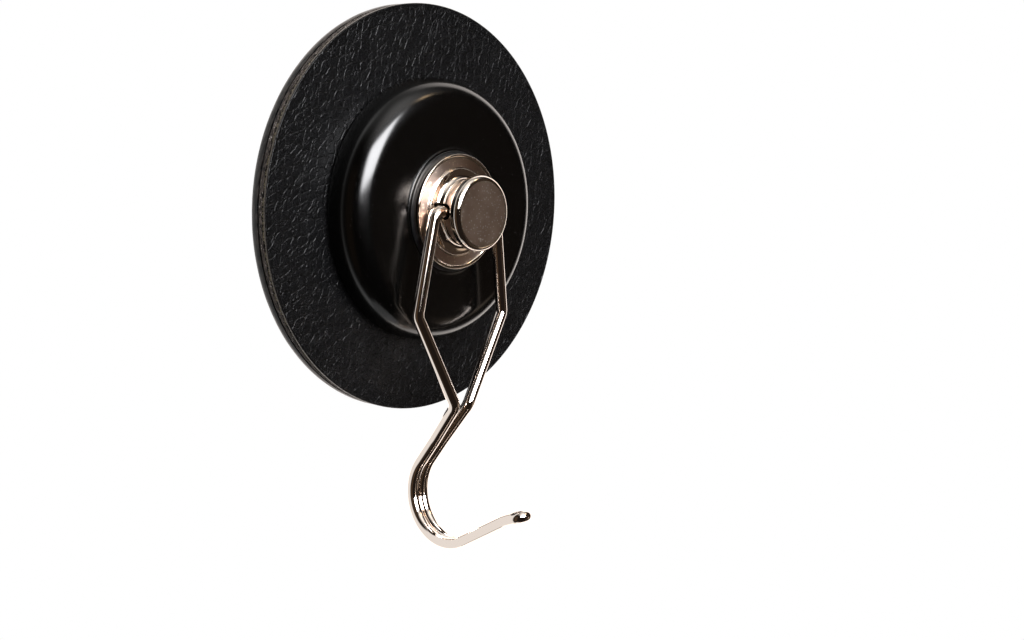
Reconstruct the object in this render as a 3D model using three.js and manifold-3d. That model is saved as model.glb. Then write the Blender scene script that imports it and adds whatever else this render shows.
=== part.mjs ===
// A magnetic wall hook: a leather-faced steel disc that sticks to a smooth wall, a magnet foot on it,
// a nickel-plated swivel knob in the foot, and a wire bail that ends in an upturned hook.
// Millimetres. +Z is up, +Y goes into the wall, and the origin is the centre of the disc's back face.
import * as THREE from "three";
import { mergeVertices } from "three/addons/utils/BufferGeometryUtils.js";
import Module from "manifold-3d";

const wasm = await Module();
wasm.setup();

// Facets: sides of a turned piece, and steps in each round stretch of its profile.
const wideSides = 64;
const knobSides = 48;
const innerSides = 32;
const arcSteps = 3;
const shoulderSteps = 9;
const wireTurnPerRing = Math.PI / 16;
const tipRings = 10;

// Gaps between pieces that don't share a flat face.
const fitGap = 0.25;
const runningGap = 0.3;

// Wall disc, a laminated stack. Each inset is how far a layer's edge lies back from the rim.
const discRadius = 32.5;
const foamThick = 1.2;
const foamEdgeRound = 0.3;
const steelThick = 0.5;
const steelInset = 0.35;
const fibreThick = 0.65;
const fibreInset = 0.05;
const cellThick = 0.5;
const cellInset = 0.15;
const skinThick = 0.45;
const skinEdgeRound = 0.22;
const discThick = foamThick + steelThick + fibreThick + cellThick + skinThick;

// Foot cover, a moulded shell. Heights are measured from the face of the wall disc.
const coverRadius = 21;
const coverRimLift = 0.25;
const coverRimRound = 0.25;
const coverWall = 1.8;
const shoulderWide = 4.35;
const shoulderTall = 5.5;
const shoulderFullnessShare = 0.63;
const crownRise = 0.05;
const collarRadius = 10;
const collarFillet = 1.2;
const collarStep = 0.25;
const collarEdge = 0.2;
const shoulderStart = coverRimLift + coverRimRound;
const crownTop = shoulderStart + shoulderTall + crownRise;
const collarTop = crownTop + collarStep;
const cavityRadius = coverRadius - coverWall;

// Liner under the foot, and the magnet set above it.
const linerThick = 0.5;
const linerEdgeRound = 0.15;
const yokeHeight = 3.9;
const yokeWall = 1.6;
const yokeRoof = 1.6;
const yokeCorner = 1.8;
const yokeInnerCorner = 0.5;
const yokeRimChamfer = 0.25;
const magnetInnerRadius = 6.4;
const magnetChamfer = 0.3;
const spacerThick = 1.8;
const spacerWide = 2.5;
const linerRadius = cavityRadius - fitGap;
const yokeRadius = cavityRadius - fitGap;
const spacerRadius = yokeRadius - yokeWall - fitGap;
const magnetOuterRadius = spacerRadius - spacerWide - fitGap;
const roofUnderside = linerThick + yokeHeight - yokeRoof;

// Bearing of the swivel: bush, thrust washer, retaining washer and screw.
const spigotRadius = 4;
const bushWall = 0.7;
const thrustThick = 0.25;
const thrustRadius = 9.55;
const endPlay = 0.1;
const retainerRadius = 5.9;
const retainerThick = 0.6;
const screwRadius = 1.9;
const screwReach = 4.6;
const screwHeadRadius = 3.3;
const screwHeadHeight = 1.3;
const screwHeadRound = 0.7;
const screwSocketRadius = 1.45;
const screwSocketDeep = 0.8;
const bushRadius = spigotRadius + runningGap + bushWall;
const bearingBore = bushRadius + fitGap;

// Swivel knob, turned from one piece. Heights are measured from the back of its flange.
const flangeRadius = 9.1;
const flangeThick = 1.05;
const flangeEdgeRound = 0.2;
const beadWide = 0.4;
const beadTall = 0.15;
const stepRadius = 6.85;
const stepTall = 0.4;
const stepEdgeRound = 0.18;
const stepLand = 0.2;
const neckRadius = 5;
const neckBlendTall = 1.4;
const headBack = 4.65;
const headThick = 1.6;
const headRadius = 5.95;
const headBackRound = 0.15;
const headFrontRound = 0.65;
const crossHoleHeight = 2.45;
const crossHoleGap = 0.3;
const screwBoreRoom = 0.5;
const flangeLand = flangeThick - beadTall;
const stepTop = flangeLand + stepTall;
const spigotLength = thrustThick + collarTop - roofUnderside + endPlay;

// Bail: one wire, given by its centre line. Drops are measured down from the cross hole, and outs are
// measured away from the wall.
const wireRadius = 0.95;
const wireSides = 12;
const strandGap = 0.14;
const wireEndHalf = 2.6;
const elbowHalf = 6.85;
const elbowBend = 1.35;
const shoulderHalf = 9.6;
const shoulderDrop = 16.1;
const shoulderBend = 1.7;
const neckHalf = 1.45;
const neckDrop = 30.6;
const neckBend = 2.2;
const joinDrop = 36.8;
const joinBend = 12;
const hookRadius = 7.65;
const hookCentreDrop = 45.35;
const hookCentreOut = -0.2;
const backAngle = THREE.MathUtils.degToRad(36.3);
const prongAngle = THREE.MathUtils.degToRad(30.3);
const tipAngle = THREE.MathUtils.degToRad(22);
const tipBendOut = 12.4;
const tipBend = 7;
const tipOut = 14.4;
const strandHalf = wireRadius + strandGap / 2;
const crossHoleRadius = wireRadius + crossHoleGap;

// One overrun serves every cut.
const overrun = 1;

// Finishes.
const foamBlack = new THREE.MeshStandardMaterial({ color: 0x17171a, roughness: 0.55, metalness: 0 });
const sheetSteel = new THREE.MeshStandardMaterial({ color: 0x86878a, roughness: 0.4, metalness: 1 });
const fibreGrey = new THREE.MeshStandardMaterial({ color: 0x3a3733, roughness: 0.95, metalness: 0 });
const cellBlack = new THREE.MeshStandardMaterial({ color: 0x131214, roughness: 0.9, metalness: 0 });
const leatherBlack = new THREE.MeshStandardMaterial({ color: 0x1c1b1d, roughness: 0.6, metalness: 0 });
const glossBlack = new THREE.MeshStandardMaterial({ color: 0x0c0c0d, roughness: 0.1, metalness: 0 });
const zincSteel = new THREE.MeshStandardMaterial({ color: 0xa9abae, roughness: 0.35, metalness: 1 });
const magnetGrey = new THREE.MeshStandardMaterial({ color: 0x3b3b3e, roughness: 0.7, metalness: 0.3 });
const spacerWhite = new THREE.MeshStandardMaterial({ color: 0xcfcdc6, roughness: 0.6, metalness: 0 });
const linerRubber = new THREE.MeshStandardMaterial({ color: 0x1a1a1b, roughness: 0.85, metalness: 0 });
const acetalBlack = new THREE.MeshStandardMaterial({ color: 0x101011, roughness: 0.4, metalness: 0 });
const nickel = new THREE.MeshStandardMaterial({ color: 0xcdbcab, roughness: 0.18, metalness: 1 });

const rightAngle = Math.PI / 2;

// A profile is drawn as radius and height. Turned about the axis, its height points out of the wall.
function turned(profile, sides) {
  return new THREE.LatheGeometry(profile.getPoints(arcSteps), sides).rotateX(Math.PI);
}

function ringProfile(inner, outer, low, high) {
  const p = new THREE.Path();
  p.moveTo(inner, low);
  p.lineTo(outer, low);
  p.lineTo(outer, high);
  p.lineTo(inner, high);
  p.closePath();
  return p;
}

function solidOf(geometry) {
  const bare = geometry.clone();
  bare.deleteAttribute("normal");
  bare.deleteAttribute("uv");
  const merged = mergeVertices(bare);
  const vertProperties = merged.attributes.position.array;
  const triVerts = new Uint32Array(merged.index.array);
  return new wasm.Manifold(new wasm.Mesh({ numProp: 3, vertProperties, triVerts }));
}

function geometryOf(solid) {
  const mesh = solid.getMesh();
  const geometry = new THREE.BufferGeometry();
  geometry.setAttribute("position", new THREE.BufferAttribute(mesh.vertProperties, 3));
  geometry.setIndex(new THREE.BufferAttribute(mesh.triVerts, 1));
  geometry.computeVertexNormals();
  return geometry;
}

function piece(name, geometry, material, height = 0) {
  const mesh = new THREE.Mesh(geometry, material);
  mesh.name = name;
  mesh.position.y = -height;
  return mesh;
}

// A plain layer of the wall disc, square at its edge.
function layer(radius, thick) {
  const p = new THREE.Path();
  p.moveTo(0, 0);
  p.lineTo(radius, 0);
  p.lineTo(radius, thick);
  p.lineTo(0, thick);
  return turned(p, wideSides);
}

// A layer whose edge is rounded over at its front face.
function roundedLayer(radius, thick, round) {
  const p = new THREE.Path();
  p.moveTo(0, 0);
  p.lineTo(radius, 0);
  p.lineTo(radius, thick - round);
  p.quadraticCurveTo(radius, thick, radius - round, thick);
  p.lineTo(0, thick);
  return turned(p, wideSides);
}

// The soft adhesive layer is rounded at its back edge, where it squeezes against the wall.
function adhesiveFoam() {
  const p = new THREE.Path();
  p.moveTo(0, 0);
  p.lineTo(discRadius - foamEdgeRound, 0);
  p.quadraticCurveTo(discRadius, 0, discRadius, foamEdgeRound);
  p.lineTo(discRadius, foamThick);
  p.lineTo(0, foamThick);
  return turned(p, wideSides);
}

// The shoulder turns from the cover's rounded rim to its crown. Each of its two handles reaches a share
// of the way to the square corner, so a larger share makes a fuller shoulder.
function shoulderCurve() {
  const crownEdge = coverRadius - shoulderWide;
  const top = shoulderStart + shoulderTall;
  return new THREE.CubicBezierCurve(
    new THREE.Vector2(coverRadius, shoulderStart),
    new THREE.Vector2(coverRadius, shoulderStart + shoulderTall * shoulderFullnessShare),
    new THREE.Vector2(crownEdge + shoulderWide * shoulderFullnessShare, top),
    new THREE.Vector2(crownEdge, top),
  );
}

// The cover's outside runs from its rim over the shoulder, along the nearly flat crown and up a fillet
// to the collar. Its inside follows the yoke cup.
function footCover() {
  const roof = linerThick + yokeHeight;
  const crownEnd = collarRadius + collarFillet;
  const p = new THREE.Path();
  p.moveTo(cavityRadius, coverRimLift);
  p.lineTo(coverRadius - coverRimRound, coverRimLift);
  p.quadraticCurveTo(coverRadius, coverRimLift, coverRadius, coverRimLift + coverRimRound);
  shoulderCurve().getPoints(shoulderSteps).forEach((point) => p.lineTo(point.x, point.y));
  p.lineTo(crownEnd, crownTop);
  p.quadraticCurveTo(collarRadius, crownTop, collarRadius, collarTop - collarEdge);
  p.lineTo(collarRadius - collarEdge, collarTop);
  p.lineTo(bearingBore, collarTop);
  p.lineTo(bearingBore, roof);
  p.lineTo(yokeRadius - yokeCorner, roof);
  p.quadraticCurveTo(cavityRadius, roof, cavityRadius, roof - yokeCorner);
  p.closePath();
  return turned(p, wideSides);
}

function footLiner() {
  const p = new THREE.Path();
  p.moveTo(0, 0);
  p.lineTo(linerRadius - linerEdgeRound, 0);
  p.lineTo(linerRadius, linerEdgeRound);
  p.lineTo(linerRadius, linerThick);
  p.lineTo(0, linerThick);
  return turned(p, innerSides);
}

// A drawn steel cup, open to the wall, with a bore in its roof. Its height 0 is its rim.
function yokeCup() {
  const inside = yokeRadius - yokeWall;
  const underside = yokeHeight - yokeRoof;
  const p = new THREE.Path();
  p.moveTo(inside, 0);
  p.lineTo(yokeRadius - yokeRimChamfer, 0);
  p.lineTo(yokeRadius, yokeRimChamfer);
  p.lineTo(yokeRadius, yokeHeight - yokeCorner);
  p.quadraticCurveTo(yokeRadius, yokeHeight, yokeRadius - yokeCorner, yokeHeight);
  p.lineTo(bearingBore, yokeHeight);
  p.lineTo(bearingBore, underside);
  p.lineTo(inside - yokeInnerCorner, underside);
  p.lineTo(inside, underside - yokeInnerCorner);
  p.closePath();
  return turned(p, innerSides);
}

function ringMagnet() {
  const thick = yokeHeight - yokeRoof;
  const p = new THREE.Path();
  p.moveTo(magnetInnerRadius, magnetChamfer);
  p.lineTo(magnetInnerRadius + magnetChamfer, 0);
  p.lineTo(magnetOuterRadius - magnetChamfer, 0);
  p.lineTo(magnetOuterRadius, magnetChamfer);
  p.lineTo(magnetOuterRadius, thick - magnetChamfer);
  p.lineTo(magnetOuterRadius - magnetChamfer, thick);
  p.lineTo(magnetInnerRadius + magnetChamfer, thick);
  p.lineTo(magnetInnerRadius, thick - magnetChamfer);
  p.closePath();
  return turned(p, innerSides);
}

function magnetSpacer() {
  const inner = spacerRadius - spacerWide;
  const p = new THREE.Path();
  p.moveTo(inner, 0);
  p.lineTo(spacerRadius, 0);
  p.lineTo(spacerRadius, spacerThick - yokeInnerCorner);
  p.lineTo(spacerRadius - yokeInnerCorner, spacerThick);
  p.lineTo(inner, spacerThick);
  p.closePath();
  return turned(p, innerSides);
}

// The screw's height 0 is the face under its head, and the head lies behind it.
function retainingScrew() {
  const p = new THREE.Path();
  p.moveTo(0, -screwHeadHeight);
  p.lineTo(screwHeadRadius - screwHeadRound, -screwHeadHeight);
  p.absarc(
    screwHeadRadius - screwHeadRound, screwHeadRound - screwHeadHeight,
    screwHeadRound, -rightAngle, 0,
  );
  p.lineTo(screwHeadRadius, 0);
  p.lineTo(screwRadius, 0);
  p.lineTo(screwRadius, screwReach);
  p.lineTo(0, screwReach);
  const body = turned(p, innerSides);
  const socketLength = screwSocketDeep + overrun;
  const socket = new THREE.CylinderGeometry(screwSocketRadius, screwSocketRadius, socketLength, 6);
  socket.translate(0, screwHeadHeight - screwSocketDeep + socketLength / 2, 0);
  return geometryOf(solidOf(body).subtract(solidOf(socket)));
}

// The knob from back to front: threaded spigot, flange with a raised bead, low step, hollow blend,
// neck and head. The cross hole for the bail goes through the neck from side to side.
function swivelKnob() {
  const boreRadius = screwRadius + fitGap;
  const boreEnd = screwReach - retainerThick - spigotLength + screwBoreRoom;
  const headFront = headBack + headThick;
  const beadInner = flangeRadius - flangeEdgeRound - beadWide;
  const blendStart = stepRadius - stepEdgeRound - stepLand;
  const p = new THREE.Path();
  p.moveTo(0, boreEnd);
  p.lineTo(boreRadius, boreEnd);
  p.lineTo(boreRadius, -spigotLength);
  p.lineTo(spigotRadius, -spigotLength);
  p.lineTo(spigotRadius, 0);
  p.lineTo(flangeRadius - flangeEdgeRound, 0);
  p.quadraticCurveTo(flangeRadius, 0, flangeRadius, flangeEdgeRound);
  p.lineTo(flangeRadius, flangeThick - flangeEdgeRound);
  p.quadraticCurveTo(flangeRadius, flangeThick, flangeRadius - flangeEdgeRound, flangeThick);
  p.quadraticCurveTo(beadInner + beadTall, flangeThick, beadInner, flangeLand);
  p.lineTo(stepRadius + stepEdgeRound, flangeLand);
  p.quadraticCurveTo(stepRadius, flangeLand, stepRadius, stepTop - stepEdgeRound);
  p.quadraticCurveTo(stepRadius, stepTop, stepRadius - stepEdgeRound, stepTop);
  p.lineTo(blendStart, stepTop);
  p.quadraticCurveTo(neckRadius, stepTop, neckRadius, stepTop + neckBlendTall);
  p.lineTo(neckRadius, headBack);
  p.lineTo(headRadius - headBackRound, headBack);
  p.lineTo(headRadius, headBack + headBackRound);
  p.lineTo(headRadius, headFront - headFrontRound);
  p.absarc(headRadius - headFrontRound, headFront - headFrontRound, headFrontRound, 0, rightAngle);
  p.lineTo(0, headFront);
  const body = turned(p, knobSides);
  const cutLength = (stepRadius + overrun) * 2;
  const cut = new THREE.CylinderGeometry(crossHoleRadius, crossHoleRadius, cutLength, innerSides);
  cut.rotateZ(rightAngle);
  cut.translate(0, -crossHoleHeight, 0);
  return geometryOf(solidOf(body).subtract(solidOf(cut)));
}

// A wire's route is a list of stations, each a point and the direction that the wire runs there, so
// that straight runs take few rings and bends take many.
class WireRoute extends THREE.Curve {
  constructor(stations) {
    super();
    this.stations = stations;
  }
  stationAt(share) {
    return this.stations[Math.round(share * (this.stations.length - 1))];
  }
  getPoint(share, target = new THREE.Vector3()) {
    return target.copy(this.stationAt(share).point);
  }
  getPointAt(share, target = new THREE.Vector3()) {
    return this.getPoint(share, target);
  }
  getTangentAt(share, target = new THREE.Vector3()) {
    return target.copy(this.stationAt(share).along);
  }
  getTangent(share, target = new THREE.Vector3()) {
    return this.getTangentAt(share, target);
  }
  getSpacedPoints() {
    return this.stations.map((station) => station.point.clone());
  }
}

// Stations along an arc that starts at a point in one direction and turns towards another.
function arcStations(start, along, inward, radius, turn, steps) {
  const centre = start.clone().addScaledVector(inward, radius);
  return Array.from({ length: steps + 1 }, (unused, i) => {
    const angle = (turn * i) / steps;
    const point = centre.clone();
    point.addScaledVector(along, radius * Math.sin(angle));
    point.addScaledVector(inward, -radius * Math.cos(angle));
    const heading = along.clone().multiplyScalar(Math.cos(angle));
    heading.addScaledVector(inward, Math.sin(angle));
    return { point, along: heading };
  });
}

// Stations through corner points, each inner corner rounded to its own bend radius, with a station at
// least every longestStep along the straight runs.
function routeThrough(corners, bends, longestStep) {
  const stations = [];
  function runTo(point, along) {
    const from = stations[stations.length - 1].point;
    const rings = Math.max(1, Math.ceil(from.distanceTo(point) / longestStep));
    for (let i = 1; i < rings; i += 1) {
      stations.push({ point: from.clone().lerp(point, i / rings), along });
    }
  }
  const first = corners[1].clone().sub(corners[0]).normalize();
  stations.push({ point: corners[0], along: first });
  for (let k = 1; k < corners.length - 1; k += 1) {
    const along = corners[k].clone().sub(corners[k - 1]).normalize();
    const next = corners[k + 1].clone().sub(corners[k]).normalize();
    const turn = along.angleTo(next);
    const inward = next.clone().addScaledVector(along, -next.dot(along)).normalize();
    const start = corners[k].clone().addScaledVector(along, -bends[k - 1] * Math.tan(turn / 2));
    runTo(start, along);
    const steps = Math.ceil(turn / wireTurnPerRing);
    stations.push(...arcStations(start, along, inward, bends[k - 1], turn, steps));
  }
  const end = corners[corners.length - 1];
  const last = end.clone().sub(corners[corners.length - 2]).normalize();
  runTo(end, last);
  stations.push({ point: end, along: last });
  return stations;
}

// The same stations on the other side of the middle plane, walked back.
function mirroredBack(stations) {
  const back = stations.map(({ point, along }) => ({
    point: new THREE.Vector3(-point.x, point.y, point.z),
    along: new THREE.Vector3(along.x, -along.y, -along.z),
  }));
  return back.reverse();
}

// One side of the bail from the cross hole to its tip. The back run and the prong are both tangent to
// the hook's bend, so their corner is found from the bend's centre. The neck lies on the back run, and
// from there the two sides close up until they run side by side from the join on.
function bailSide() {
  const at = (half, out, drop) => new THREE.Vector3(half, -out, -drop);
  const turn = rightAngle + backAngle + prongAngle;
  const tangent = hookRadius * Math.tan(turn / 2);
  const backOut = hookCentreOut - hookRadius * Math.cos(backAngle);
  const backDrop = hookCentreDrop - hookRadius * Math.sin(backAngle);
  const neckOut = backOut + (backDrop - neckDrop) * Math.tan(backAngle);
  const joinOut = backOut + (backDrop - joinDrop) * Math.tan(backAngle);
  const prongOut = hookCentreOut + hookRadius * Math.sin(prongAngle);
  const prongDrop = hookCentreDrop + hookRadius * Math.cos(prongAngle);
  const tipBendDrop = prongDrop - (tipBendOut - prongOut) * Math.tan(prongAngle);
  const tipDrop = tipBendDrop - (tipOut - tipBendOut) * Math.tan(tipAngle);
  const corners = [
    at(wireEndHalf, 0, 0),
    at(elbowHalf, 0, 0),
    at(shoulderHalf, 0, shoulderDrop),
    at(neckHalf, neckOut, neckDrop),
    at(strandHalf, joinOut, joinDrop),
    at(strandHalf, backOut - tangent * Math.sin(backAngle), backDrop + tangent * Math.cos(backAngle)),
    at(strandHalf, tipBendOut, tipBendDrop),
    at(strandHalf, tipOut, tipDrop),
  ];
  const bends = [elbowBend, shoulderBend, neckBend, joinBend, hookRadius, tipBend];
  return routeThrough(corners, bends, hookRadius / 2);
}

// The whole wire: one side, the U-turn at the tip, and the other side back to the cross hole.
function bailWire() {
  const side = bailSide();
  const end = side[side.length - 1];
  const inward = new THREE.Vector3(-1, 0, 0);
  const tip = arcStations(end.point, end.along, inward, strandHalf, Math.PI, tipRings);
  const stations = [...side.slice(0, -1), ...tip, ...mirroredBack(side).slice(1)];
  const section = new THREE.Shape();
  section.absarc(0, 0, wireRadius, 0, Math.PI * 2);
  const extrudePath = new WireRoute(stations);
  return new THREE.ExtrudeGeometry(section, {
    steps: stations.length - 1,
    curveSegments: wireSides / 2,
    bevelEnabled: false,
    extrudePath,
  });
}

// The wall disc, each layer on the one behind it.
const wallDisc = new THREE.Group();
const layers = [
  ["adhesive_foam", adhesiveFoam(), foamBlack, foamThick],
  ["steel_disc", layer(discRadius - steelInset, steelThick), sheetSteel, steelThick],
  ["fibre_backing", layer(discRadius - fibreInset, fibreThick), fibreGrey, fibreThick],
  ["foam_layer", layer(discRadius - cellInset, cellThick), cellBlack, cellThick],
  ["leather_skin", roundedLayer(discRadius, skinThick, skinEdgeRound), leatherBlack, skinThick],
];
let layerBack = 0;
for (const [name, geometry, material, thick] of layers) {
  wallDisc.add(piece(name, geometry, material, layerBack));
  layerBack += thick;
}

// The bail hangs in the cross hole of the knob.
const bail = new THREE.Group();
bail.position.y = -crossHoleHeight;
bail.add(piece("bail_wire", bailWire(), nickel));

// The swivel stands on the thrust washer and is held from behind by its washer and screw.
const swivel = new THREE.Group();
swivel.position.y = -(collarTop + thrustThick);
const retainer = ringProfile(screwRadius + fitGap, retainerRadius, 0, retainerThick);
const retainerBack = -spigotLength - retainerThick;
swivel.add(piece("swivel_knob", swivelKnob(), nickel));
swivel.add(piece("retaining_washer", turned(retainer, innerSides), zincSteel, retainerBack));
swivel.add(piece("retaining_screw", retainingScrew(), zincSteel, retainerBack));
swivel.add(bail);

// The foot stands on the face of the wall disc.
const foot = new THREE.Group();
foot.position.y = -discThick;
const bush = ringProfile(spigotRadius + runningGap, bushRadius, roofUnderside, collarTop);
const thrust = ringProfile(spigotRadius + runningGap, thrustRadius, 0, thrustThick);
foot.add(piece("foot_cover", footCover(), glossBlack));
foot.add(piece("foot_liner", footLiner(), linerRubber));
foot.add(piece("yoke_cup", yokeCup(), zincSteel, linerThick));
foot.add(piece("ring_magnet", ringMagnet(), magnetGrey, linerThick));
foot.add(piece("magnet_spacer", magnetSpacer(), spacerWhite, roofUnderside - spacerThick));
foot.add(piece("bearing_bush", turned(bush, innerSides), acetalBlack));
foot.add(piece("thrust_washer", turned(thrust, knobSides), acetalBlack, collarTop));
foot.add(swivel);

const magneticHook = new THREE.Group();
magneticHook.add(wallDisc, foot);

export default magneticHook;
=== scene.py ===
# %% [markdown]
# # A magnetic wall hook
# A round disc with a leather face sticks to the wall. A glossy black magnet foot holds on to it,
# and a nickel-plated knob turns in the foot and carries a hook bent from one wire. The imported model
# already holds every piece at its real size, so this lesson only dresses it: most pieces that show
# are made again as smooth surfaces, and every piece gets a finish built from nodes.

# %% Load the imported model
import math
from functools import partial

import bmesh
import bpy
import numpy as np
from mathutils import Matrix, Vector

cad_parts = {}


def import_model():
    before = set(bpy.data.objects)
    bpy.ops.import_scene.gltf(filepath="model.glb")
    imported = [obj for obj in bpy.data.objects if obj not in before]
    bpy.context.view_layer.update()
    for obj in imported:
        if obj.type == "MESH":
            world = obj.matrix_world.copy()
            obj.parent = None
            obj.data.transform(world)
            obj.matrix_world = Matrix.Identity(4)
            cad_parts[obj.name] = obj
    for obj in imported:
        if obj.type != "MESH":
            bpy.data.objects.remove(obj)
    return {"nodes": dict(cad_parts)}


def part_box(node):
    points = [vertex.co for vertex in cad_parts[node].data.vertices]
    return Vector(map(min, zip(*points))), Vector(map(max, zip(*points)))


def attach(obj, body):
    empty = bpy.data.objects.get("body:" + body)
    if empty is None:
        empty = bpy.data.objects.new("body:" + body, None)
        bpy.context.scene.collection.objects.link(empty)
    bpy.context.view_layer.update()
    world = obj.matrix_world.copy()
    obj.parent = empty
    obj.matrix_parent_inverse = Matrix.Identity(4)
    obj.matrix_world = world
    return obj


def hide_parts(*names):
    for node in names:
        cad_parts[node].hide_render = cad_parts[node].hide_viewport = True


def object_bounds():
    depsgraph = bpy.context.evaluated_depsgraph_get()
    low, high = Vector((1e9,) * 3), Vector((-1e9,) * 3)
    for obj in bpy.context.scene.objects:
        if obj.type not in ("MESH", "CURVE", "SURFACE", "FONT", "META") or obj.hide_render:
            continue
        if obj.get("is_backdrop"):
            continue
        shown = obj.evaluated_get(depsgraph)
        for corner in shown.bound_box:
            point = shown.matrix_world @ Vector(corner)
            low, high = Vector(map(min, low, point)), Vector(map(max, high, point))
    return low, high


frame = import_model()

cad_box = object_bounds()
print("nodes:", len(frame["nodes"]))

# %% [markdown]
# ## Sizes
# The model is in metres with Y going into the wall, but a maker thinks in millimetres and in height
# above the wall. So shapes are worked out here as radius and height in millimetres, and turned to
# metres only when a mesh is made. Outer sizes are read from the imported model, so that they agree.

# %% Sizes read from the model
MM = 0.001


def heights(name):
    """How far a node's back and front lie from the wall, in mm."""
    low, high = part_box(name)
    return -high[1] / MM, -low[1] / MM


def reach(name):
    """A turned node's largest radius, in mm."""
    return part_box(name)[1][0] / MM


disc_radius = reach("leather_skin")
disc_face = heights("leather_skin")[1]
cover_radius = reach("foot_cover")
cover_back, collar_top = heights("foot_cover")
flange_radius = reach("swivel_knob")
flange_back = heights("thrust_washer")[1]
knob_front = heights("swivel_knob")[1]
print(f"disc {2 * disc_radius:.1f} mm, foot {2 * cover_radius:.1f} mm, face at {disc_face:.2f} mm")

# %% [markdown]
# ## From arrays to meshes
# Nearly every piece of this hook is round, so each one is a grid of points: a profile turned about
# the axis, or a circle carried along a wire. The grid is worked out as one array, and its quads
# follow from the numbering of its points, which is quick and leaves no stray faces.

# %% Grids of points become meshes
MERGE_WITHIN = 0.0004
SHARP_ANGLE = 40


def mesh_piece(name, points, faces, sharp_angle=SHARP_ANGLE, finishes=None, places=None, pits=None):
    """A mesh object from points in mm and a list of faces, with its doubles merged and its faces
    out. finishes numbers each face's material. For the finish to read, places keeps a second
    position of each point, in metres, and pits a value from 0 to 1."""
    mesh = bpy.data.meshes.new(name)
    mesh.from_pydata((points * MM).tolist(), [], faces)
    if finishes is not None:
        mesh.polygons.foreach_set("material_index", finishes)
    for label, kind, field, values in (
        ("wire_place", "FLOAT_VECTOR", "vector", places), ("pit", "FLOAT", "value", pits),
    ):
        if values is not None:
            mesh.attributes.new(label, kind, "POINT").data.foreach_set(field, values.ravel())
    work = bmesh.new()
    work.from_mesh(mesh)
    bmesh.ops.remove_doubles(work, verts=work.verts, dist=MERGE_WITHIN * MM)
    bmesh.ops.recalc_face_normals(work, faces=work.faces)
    work.to_mesh(mesh)
    work.free()
    mesh.shade_smooth()
    mesh.set_sharp_from_angle(angle=math.radians(sharp_angle))
    piece = bpy.data.objects.new(name, mesh)
    bpy.context.scene.collection.objects.link(piece)
    return piece


def quads(index):
    """Quads between neighbours in an array of point numbers."""
    corners = [index[:-1, :-1], index[1:, :-1], index[1:, 1:], index[:-1, 1:]]
    return np.stack(corners, -1).reshape(-1, 4).tolist()


def grid_faces(rows, columns, wrap_rows=False, wrap_columns=False):
    """The quads of a grid numbered row by row. A wrapped direction closes on itself."""
    index = np.arange(rows * columns).reshape(rows, columns)
    if wrap_rows:
        index = np.vstack([index, index[:1]])
    if wrap_columns:
        index = np.hstack([index, index[:, :1]])
    return quads(index)


def turned_grid(profile, sides):
    """Turns a profile about the Y axis. Row i, column j is profile point i, which is a radius and a
    height, turned by j steps of a full turn: x = r cos, y = -height, z = r sin."""
    turn = np.linspace(0, 2 * math.pi, sides, endpoint=False)
    radius, height = profile[:, :1], profile[:, 1:]
    return np.stack([radius * np.cos(turn), -height + 0 * turn, radius * np.sin(turn)], -1)


def turned(name, profile, sides, closed=True):
    """A turned piece. A closed profile is a ring's section, and an open one ends on the axis."""
    grid = turned_grid(profile, sides)
    faces = grid_faces(len(profile), sides, wrap_rows=closed, wrap_columns=True)
    return mesh_piece(name, grid.reshape(-1, 3), faces)


# %% [markdown]
# A smooth piece shows its profile in every reflection. A long straight run next to a small round
# would smear the round's shading across it, so straight runs get points that crowd together near
# their ends, and rounds get arcs with enough steps to look smooth in a mirror finish.

# %% Runs of a profile
def straight(start, end, count=7):
    """A straight run with points at shares (1 - cos) / 2 of the way, closer near both ends."""
    share = (1 - np.cos(np.linspace(0, math.pi, count)))[:, None] / 2
    return (1 - share) * np.array(start) + share * np.array(end)


def arc(centre, radius, first, last, count=9):
    """An arc about a centre, between two angles in degrees: 0 is outwards and 90 to the front."""
    angle = np.radians(np.linspace(first, last, count))
    return np.array(centre) + radius * np.stack([np.cos(angle), np.sin(angle)], -1)


def bezier(*corners, count=10):
    """A curve from the first corner to the last, pulled towards those between. At t from 0 to 1,
    corner i of n + 1 weighs (n over i) (1 - t)^(n - i) t^i."""
    t = np.linspace(0, 1, count)[:, None]
    n = len(corners) - 1
    weights = [math.comb(n, i) * (1 - t) ** (n - i) * t ** i for i in range(n + 1)]
    return sum(weight * np.array(corner) for weight, corner in zip(weights, corners))


def chain(*corners):
    """Straight runs from each corner to the next."""
    return np.vstack([straight(start, end) for start, end in zip(corners, corners[1:])])


# %% [markdown]
# ## Relief from numbers
# The waves of leather, torn fibre and the pits of foam are shapes, not paint, so they move the
# points of the mesh. One pattern is enough: smooth noise, which blends random values that sit on a
# lattice.

# %% Noise on whole arrays
def lattice_value(i, j, k, seed):
    """A repeatable random value from 0 to 1 for each corner of the lattice."""
    mixed = (i * 374761393 + j * 668265263 + k * 2147483647 + seed * 1274126177) & 0x7FFFFFFF
    mixed = ((mixed ^ (mixed >> 13)) * 1274126177) & 0x7FFFFFFF
    return ((mixed ^ (mixed >> 16)) & 0xFFFFF) / 0xFFFFF


def smooth_noise(points, grain, seed):
    """Noise from -1 to 1 with features of about one grain, in mm: lattice values blended with the
    weights 3 s^2 - 2 s^3 along each axis."""
    place = points / grain
    base = np.floor(place).astype(np.int64)
    s = place - base
    s = s * s * (3 - 2 * s)
    total = np.zeros(len(points))
    for corner in np.ndindex(2, 2, 2):
        weight = np.prod(np.where(corner, s, 1 - s), axis=1)
        total += weight * lattice_value(*(base + corner).T, seed)
    return 2 * total - 1


sample = smooth_noise(np.linspace(-50, 50, 3000).reshape(-1, 3), 1.0, 1)
print(f"noise from {sample.min():.2f} to {sample.max():.2f}")

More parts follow.
